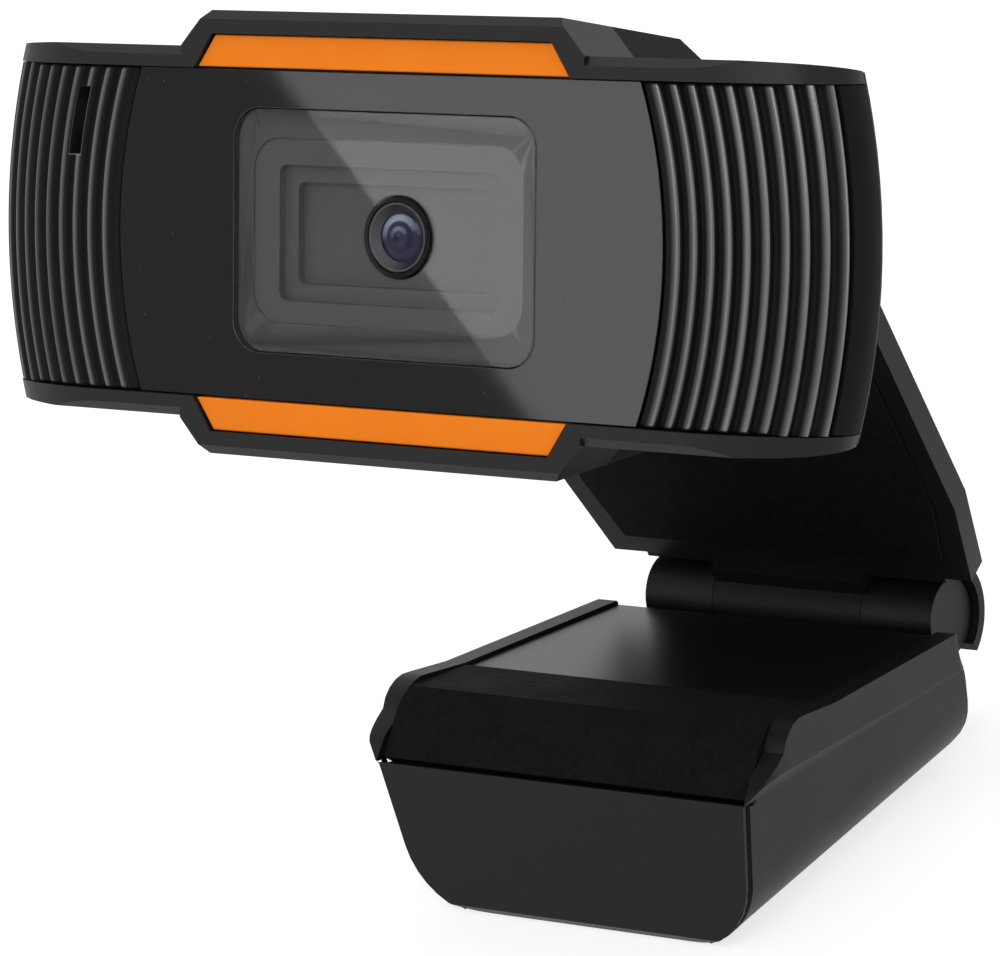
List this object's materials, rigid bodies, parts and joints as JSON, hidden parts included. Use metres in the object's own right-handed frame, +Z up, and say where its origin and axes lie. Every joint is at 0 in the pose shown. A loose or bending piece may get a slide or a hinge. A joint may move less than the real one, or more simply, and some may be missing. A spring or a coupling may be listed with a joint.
{
  "type": "clip-on webcam",
  "caption": "Wide webcam head with ribbed ends and a square-framed lens, on a tilting and turning neck carried by a hinged clip that also stands as a foot.",
  "frame": {"origin": "on the surface the foot stands on, in the middle of the object's outline", "axes": "+X across the head towards the camera's left, +Y from the lens towards the clip's hinge, +Z up"},
  "size_m": [0.076, 0.0564, 0.0759],
  "materials": {
    "shell_plastic": "satin moulded black plastic",
    "cheek_plastic": "satin black plastic with fine ribs",
    "gloss_panel": "polished black plastic",
    "clear_pane": "clear smoked window",
    "orange_trim": "orange lacquered plastic",
    "shroud_plastic": "dark grey moulded plastic",
    "barrel_plastic": "black anodised look",
    "ring_metal": "dark turned ring",
    "lens_glass": "coated optical glass",
    "filter_glass": "tinted filter glass",
    "holder_plastic": "black moulded plastic",
    "chip_plastic": "moulded chip body",
    "board_laminate": "green solder mask",
    "socket_plastic": "natural nylon",
    "screw_steel": "plated steel",
    "mic_metal": "drawn can",
    "soft_rubber": "soft matt rubber",
    "neck_plastic": "satin black plastic",
    "clip_plastic": "satin black plastic",
    "pin_steel": "ground steel pin",
    "foot_plastic": "fine textured black plastic",
    "gloss_cover": "polished black plastic"
  },
  "bodies": {
    "foot": {"foot_shell": "foot_plastic", "foot_cover": "gloss_cover", "grip_pad": "soft_rubber", "foot_screws": "screw_steel", "hinge_pin": "pin_steel"},
    "leaf": {"clip_arm": "clip_plastic", "arm_pad": "soft_rubber", "tilt_pin": "pin_steel", "tilt_washers": "screw_steel"},
    "neck": {"neck": "neck_plastic", "swivel_washer": "screw_steel", "swivel_screw": "screw_steel"},
    "head": {"front_frame": "shell_plastic", "face_panel": "gloss_panel", "window_pane": "clear_pane", "trim_top": "orange_trim", "trim_bottom": "orange_trim", "cheek_left": "cheek_plastic", "cheek_right": "cheek_plastic", "lens_shroud": "shroud_plastic", "lens_barrel": "barrel_plastic", "lens_ring": "ring_metal", "front_lens": "lens_glass", "rear_lens": "lens_glass", "lens_holder": "holder_plastic", "ir_filter": "filter_glass", "image_sensor": "chip_plastic", "circuit_board": "board_laminate", "controller_chip": "chip_plastic", "board_socket": "socket_plastic", "board_screws": "screw_steel", "microphone": "mic_metal", "mic_boot": "soft_rubber", "rear_housing": "shell_plastic", "housing_screws": "screw_steel", "cable_gland": "soft_rubber", "boss_cap": "shell_plastic"}
  },
  "joints": [
    {"name": "clip_hinge", "type": "hinge", "parent": "foot", "child": "leaf", "pos_m": [0, 0.02365, 0.0109], "axis": [1, 0, 0], "range_deg": [-45, 34]},
    {"name": "head_tilt", "type": "hinge", "parent": "leaf", "child": "neck", "pos_m": [0, 0.00981, 0.04675], "axis": [1, 0, 0], "range_deg": [-35, 20]},
    {"name": "head_swivel", "type": "hinge", "parent": "neck", "child": "head", "pos_m": [0, 0.00014, 0.04967], "axis": [0, 0.3173, 0.9483], "range_deg": [-30, 30]}
  ]
}
